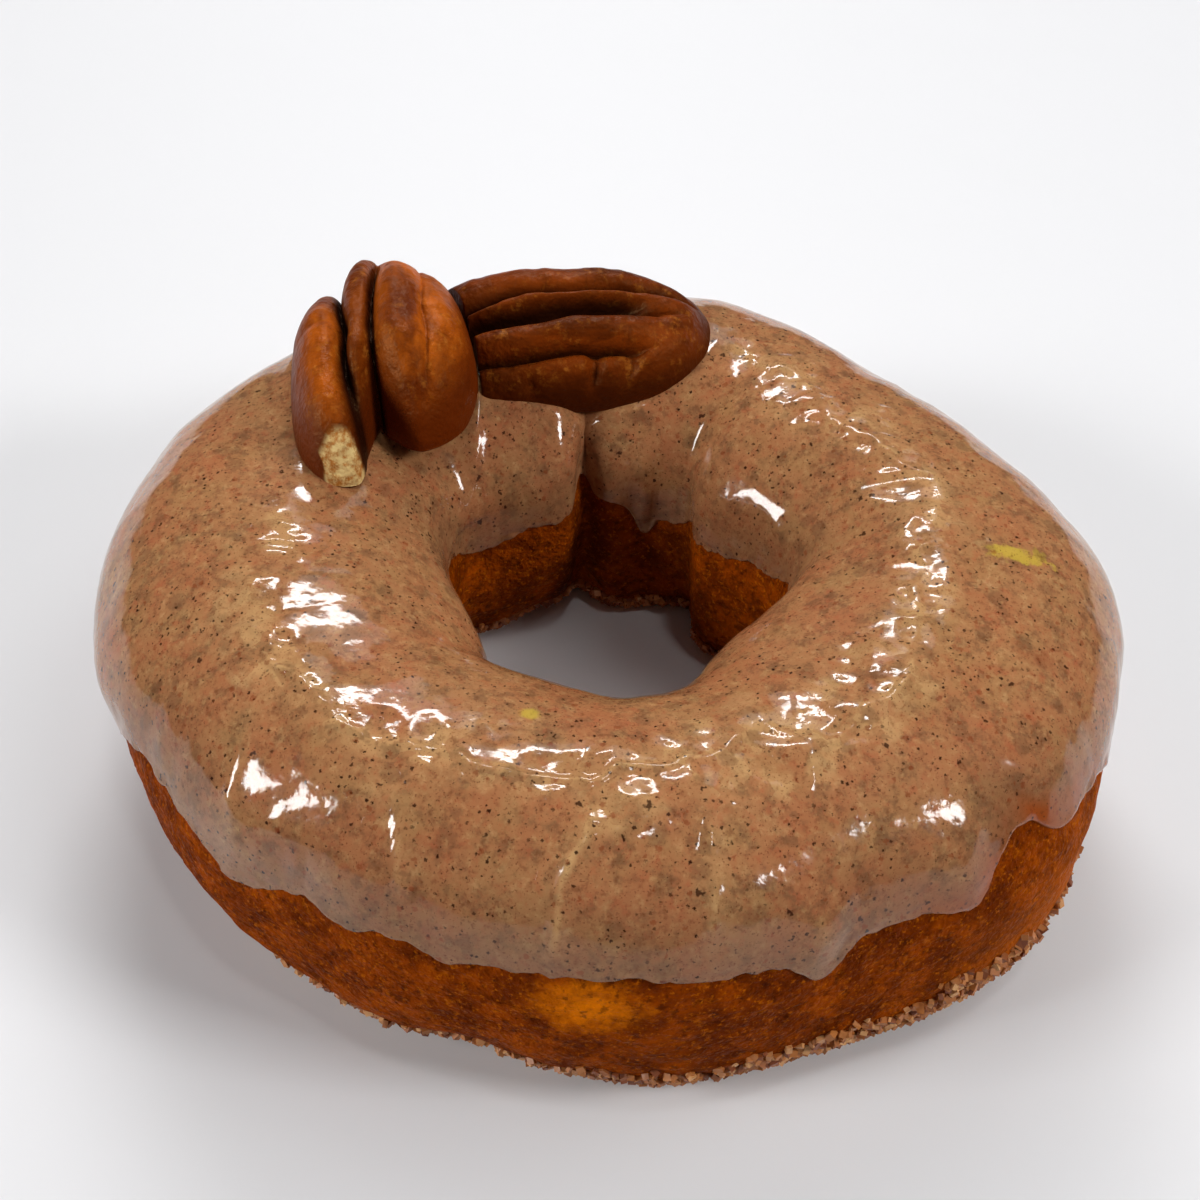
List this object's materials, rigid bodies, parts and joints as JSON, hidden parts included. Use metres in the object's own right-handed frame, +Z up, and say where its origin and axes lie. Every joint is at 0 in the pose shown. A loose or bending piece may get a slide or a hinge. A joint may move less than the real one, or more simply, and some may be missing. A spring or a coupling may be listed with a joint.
{
  "type": "pumpkin spice doughnut",
  "caption": "Ring doughnut with a speckled spice glaze over its top, pecan halves set in the glaze and coarse sugar round its foot.",
  "frame": {"origin": "on the surface the doughnut stands on, under the middle of its box", "axes": "+Z up through the hole, +X to the right and +Y away as seen from the front, with both pecan halves at the back"},
  "size_m": [0.0988, 0.0902, 0.0406],
  "materials": {
    "dough": "fried crumb, satin, with cinnamon sugar round the foot",
    "glaze": "wet gloss, speckled with spice",
    "pecan": "toasted nut skin, satin"
  },
  "bodies": {
    "root": {"dough": "dough", "glaze": "glaze", "pecan_left": "pecan", "pecan_back": "pecan"}
  },
  "joints": []
}
